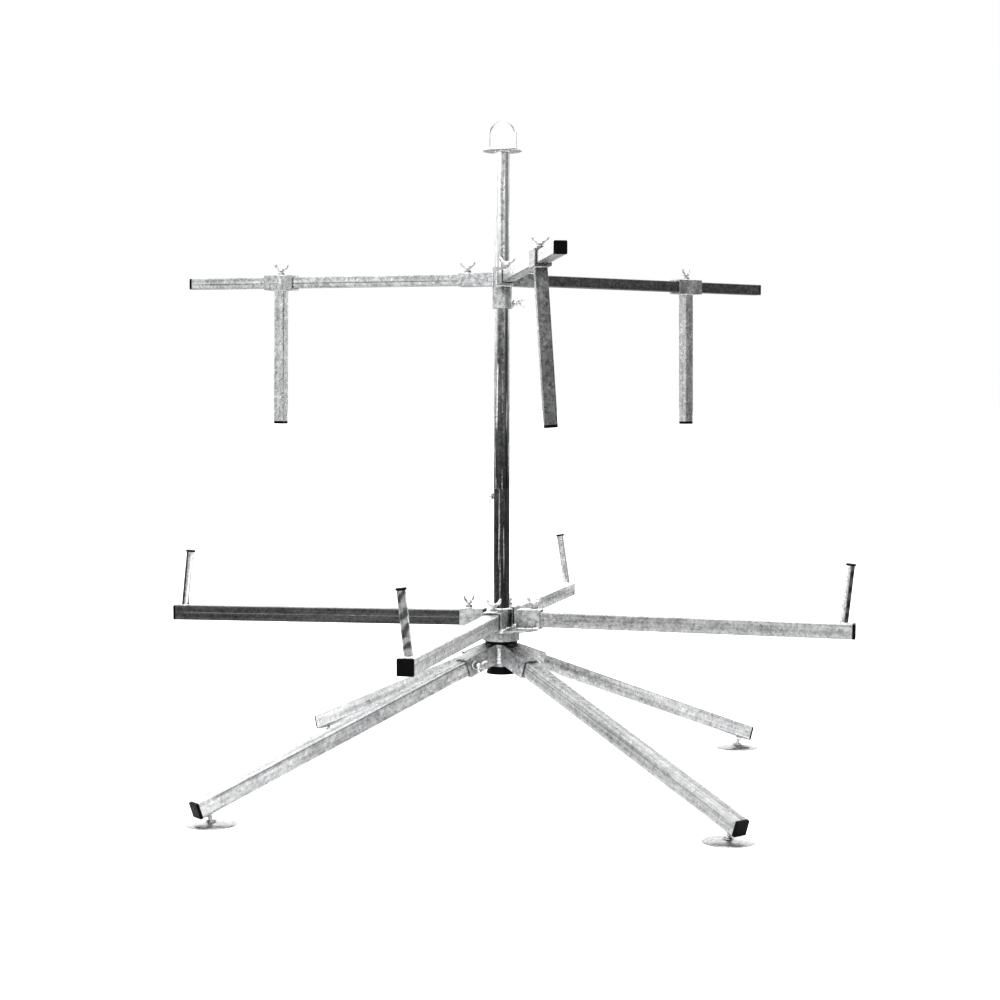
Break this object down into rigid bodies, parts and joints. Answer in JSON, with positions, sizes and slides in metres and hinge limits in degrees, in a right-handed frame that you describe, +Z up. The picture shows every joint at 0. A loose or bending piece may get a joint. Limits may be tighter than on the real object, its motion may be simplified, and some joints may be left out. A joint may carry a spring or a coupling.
{
  "type": "pipe coil decoiler turntable",
  "caption": "Knock-down rotary decoiler: sloping legs, turning lower arms with end posts, mast, and upper arms with sliding drop posts that hold a coil from inside.",
  "frame": {"origin": "on the floor under the spindle axis", "axes": "+Z up along the spindle; the legs run at 45 degrees to X and Y"},
  "size_m": [1.8668, 1.8668, 1.771],
  "materials": {
    "galvanised_square_tube": "hot-dip galvanised, spangled",
    "galvanised_mast": "hot-dip galvanised, spangled",
    "galvanised_weldments": "hot-dip galvanised over welds",
    "foot_steel": "galvanised pressed sheet",
    "zinc_screws": "bright zinc plate",
    "spindle_steel": "turned, oiled",
    "black_caps": "moulded polyethylene",
    "bearing_plastic": "moulded nylon, satin"
  },
  "bodies": {
    "base": {"base_hub": "galvanised_weldments", "base_cap": "bearing_plastic", "thrust_washer": "bearing_plastic", "spindle": "spindle_steel", "spindle_bolt": "zinc_screws"},
    "rotor": {"rotor_hub": "galvanised_weldments", "spindle_bushes": "bearing_plastic", "mast_lower": "galvanised_mast"},
    "mast": {"mast_upper": "galvanised_mast", "mast_spigot": "galvanised_mast", "mast_top": "galvanised_weldments"},
    "hub": {"upper_hub": "galvanised_weldments"},
    "mast_screw": {"mast_screw": "zinc_screws"},
    "collar_screw": {"collar_screw": "zinc_screws"},
    "leg_1": {"leg_1": "galvanised_square_tube", "leg_cap_1": "black_caps", "foot_1": "foot_steel"},
    "leg_screw_1": {"leg_screw_1": "zinc_screws"},
    "arm_1": {"lower_arm_1": "galvanised_square_tube", "lower_arm_caps_1": "black_caps"},
    "arm_screw_1": {"arm_screw_1": "zinc_screws"},
    "leg_2": {"leg_2": "galvanised_square_tube", "leg_cap_2": "black_caps", "foot_2": "foot_steel"},
    "leg_screw_2": {"leg_screw_2": "zinc_screws"},
    "arm_2": {"lower_arm_2": "galvanised_square_tube", "lower_arm_caps_2": "black_caps"},
    "arm_screw_2": {"arm_screw_2": "zinc_screws"},
    "leg_3": {"leg_3": "galvanised_square_tube", "leg_cap_3": "black_caps", "foot_3": "foot_steel"},
    "leg_screw_3": {"leg_screw_3": "zinc_screws"},
    "arm_3": {"lower_arm_3": "galvanised_square_tube", "lower_arm_caps_3": "black_caps"},
    "arm_screw_3": {"arm_screw_3": "zinc_screws"},
    "leg_4": {"leg_4": "galvanised_square_tube", "leg_cap_4": "black_caps", "foot_4": "foot_steel"},
    "leg_screw_4": {"leg_screw_4": "zinc_screws"},
    "arm_4": {"lower_arm_4": "galvanised_square_tube", "lower_arm_caps_4": "black_caps"},
    "arm_screw_4": {"arm_screw_4": "zinc_screws"},
    "upper_arm_1": {"upper_arm_1": "galvanised_square_tube", "upper_arm_cap_1": "black_caps"},
    "upper_screw_1": {"upper_screw_1": "zinc_screws"},
    "sleeve_1": {"sleeve_1": "galvanised_square_tube", "drop_post_cap_1": "black_caps"},
    "sleeve_screw_1": {"sleeve_screw_1": "zinc_screws"},
    "upper_arm_2": {"upper_arm_2": "galvanised_square_tube", "upper_arm_cap_2": "black_caps"},
    "upper_screw_2": {"upper_screw_2": "zinc_screws"},
    "sleeve_2": {"sleeve_2": "galvanised_square_tube", "drop_post_cap_2": "black_caps"},
    "sleeve_screw_2": {"sleeve_screw_2": "zinc_screws"},
    "upper_arm_3": {"upper_arm_3": "galvanised_square_tube", "upper_arm_cap_3": "black_caps"},
    "upper_screw_3": {"upper_screw_3": "zinc_screws"},
    "sleeve_3": {"sleeve_3": "galvanised_square_tube", "drop_post_cap_3": "black_caps"},
    "sleeve_screw_3": {"sleeve_screw_3": "zinc_screws"}
  },
  "joints": [
    {"name": "rotor_spin", "type": "hinge", "parent": "base", "child": "rotor", "pos_m": [0, 0, 0.38435], "axis": [0, 0, 1], "continuous": true},
    {"name": "mast_lift", "type": "slide", "parent": "rotor", "child": "mast", "axis": [0, 0, 1], "range_m": [0, 0.1]},
    {"name": "hub_height", "type": "slide", "parent": "mast", "child": "hub", "axis": [0, 0, 1], "range_m": [-0.42, 0.28]},
    {"name": "mast_screw_turn", "type": "hinge", "parent": "rotor", "child": "mast_screw", "pos_m": [-0.01629, 0.01357, 0.77005], "axis": [-0.7683, 0.6401, 0], "continuous": true},
    {"name": "collar_screw_turn", "type": "hinge", "parent": "hub", "child": "collar_screw", "pos_m": [0.02654, 0.00373, 1.28435], "axis": [0.9903, 0.1392, 0], "continuous": true},
    {"name": "leg_1_slide", "type": "slide", "parent": "base", "child": "leg_1", "axis": [0.6668, -0.6668, -0.333], "range_m": [0, 0.06]},
    {"name": "leg_screw_1_turn", "type": "hinge", "parent": "base", "child": "leg_screw_1", "pos_m": [0.09102, -0.05566, 0.32732], "axis": [0.7071, 0.7071, 0], "continuous": true},
    {"name": "arm_1_slide", "type": "slide", "parent": "rotor", "child": "arm_1", "axis": [-0.0906, -0.9958, -0.0105], "range_m": [0, 0.04]},
    {"name": "arm_screw_1_turn", "type": "hinge", "parent": "rotor", "child": "arm_screw_1", "pos_m": [-0.00816, -0.08963, 0.46905], "axis": [0, 0, 1], "continuous": true},
    {"name": "leg_2_slide", "type": "slide", "parent": "base", "child": "leg_2", "axis": [0.6668, 0.6668, -0.333], "range_m": [0, 0.06]},
    {"name": "leg_screw_2_turn", "type": "hinge", "parent": "base", "child": "leg_screw_2", "pos_m": [0.05566, 0.09102, 0.32732], "axis": [-0.7071, 0.7071, 0], "continuous": true},
    {"name": "arm_2_slide", "type": "slide", "parent": "rotor", "child": "arm_2", "axis": [0.9958, -0.0906, -0.0105], "range_m": [0, 0.04]},
    {"name": "arm_screw_2_turn", "type": "hinge", "parent": "rotor", "child": "arm_screw_2", "pos_m": [0.08963, -0.00816, 0.46905], "axis": [0, 0, 1], "continuous": true},
    {"name": "leg_3_slide", "type": "slide", "parent": "base", "child": "leg_3", "axis": [-0.6668, 0.6668, -0.333], "range_m": [0, 0.06]},
    {"name": "leg_screw_3_turn", "type": "hinge", "parent": "base", "child": "leg_screw_3", "pos_m": [-0.09102, 0.05566, 0.32732], "axis": [-0.7071, -0.7071, 0], "continuous": true},
    {"name": "arm_3_slide", "type": "slide", "parent": "rotor", "child": "arm_3", "axis": [0.0906, 0.9958, -0.0105], "range_m": [0, 0.04]},
    {"name": "arm_screw_3_turn", "type": "hinge", "parent": "rotor", "child": "arm_screw_3", "pos_m": [0.00816, 0.08963, 0.46905], "axis": [0, 0, 1], "continuous": true},
    {"name": "leg_4_slide", "type": "slide", "parent": "base", "child": "leg_4", "axis": [-0.6668, -0.6668, -0.333], "range_m": [0, 0.06]},
    {"name": "leg_screw_4_turn", "type": "hinge", "parent": "base", "child": "leg_screw_4", "pos_m": [-0.05566, -0.09102, 0.32732], "axis": [0.7071, -0.7071, 0], "continuous": true},
    {"name": "arm_4_slide", "type": "slide", "parent": "rotor", "child": "arm_4", "axis": [-0.9958, 0.0906, -0.0105], "range_m": [0, 0.04]},
    {"name": "arm_screw_4_turn", "type": "hinge", "parent": "rotor", "child": "arm_screw_4", "pos_m": [-0.08963, 0.00816, 0.46905], "axis": [0, 0, 1], "continuous": true},
    {"name": "upper_arm_1_slide", "type": "slide", "parent": "hub", "child": "upper_arm_1", "axis": [0.2681, -0.9634, 0.0087], "range_m": [0, 0.05]},
    {"name": "upper_screw_1_turn", "type": "hinge", "parent": "hub", "child": "upper_screw_1", "pos_m": [0.02681, -0.09634, 1.36585], "axis": [0, 0, 1], "continuous": true},
    {"name": "sleeve_1_slide", "type": "slide", "parent": "upper_arm_1", "child": "sleeve_1", "axis": [0.2681, -0.9634, 0.0087], "range_m": [-0.42, 0.24]},
    {"name": "sleeve_screw_1_turn", "type": "hinge", "parent": "sleeve_1", "child": "sleeve_screw_1", "pos_m": [0.17876, -0.6424, 1.3735], "axis": [-0.0023, 0.0084, 1], "continuous": true},
    {"name": "upper_arm_2_slide", "type": "slide", "parent": "hub", "child": "upper_arm_2", "axis": [0.7003, 0.7138, 0.0087], "range_m": [0, 0.05]},
    {"name": "upper_screw_2_turn", "type": "hinge", "parent": "hub", "child": "upper_screw_2", "pos_m": [0.07003, 0.07139, 1.36585], "axis": [0, 0, 1], "continuous": true},
    {"name": "sleeve_2_slide", "type": "slide", "parent": "upper_arm_2", "child": "sleeve_2", "axis": [0.7003, 0.7138, 0.0087], "range_m": [-0.42, 0.24]},
    {"name": "sleeve_screw_2_turn", "type": "hinge", "parent": "sleeve_2", "child": "sleeve_screw_2", "pos_m": [0.46695, 0.47601, 1.3735], "axis": [-0.0061, -0.0062, 1], "continuous": true},
    {"name": "upper_arm_3_slide", "type": "slide", "parent": "hub", "child": "upper_arm_3", "axis": [-0.9683, 0.2495, 0.0087], "range_m": [0, 0.05]},
    {"name": "upper_screw_3_turn", "type": "hinge", "parent": "hub", "child": "upper_screw_3", "pos_m": [-0.09684, 0.02495, 1.36585], "axis": [0, 0, 1], "continuous": true},
    {"name": "sleeve_3_slide", "type": "slide", "parent": "upper_arm_3", "child": "sleeve_3", "axis": [-0.9683, 0.2495, 0.0087], "range_m": [-0.42, 0.24]},
    {"name": "sleeve_screw_3_turn", "type": "hinge", "parent": "sleeve_3", "child": "sleeve_screw_3", "pos_m": [-0.64571, 0.16639, 1.3735], "axis": [0.0085, -0.0022, 1], "continuous": true}
  ]
}
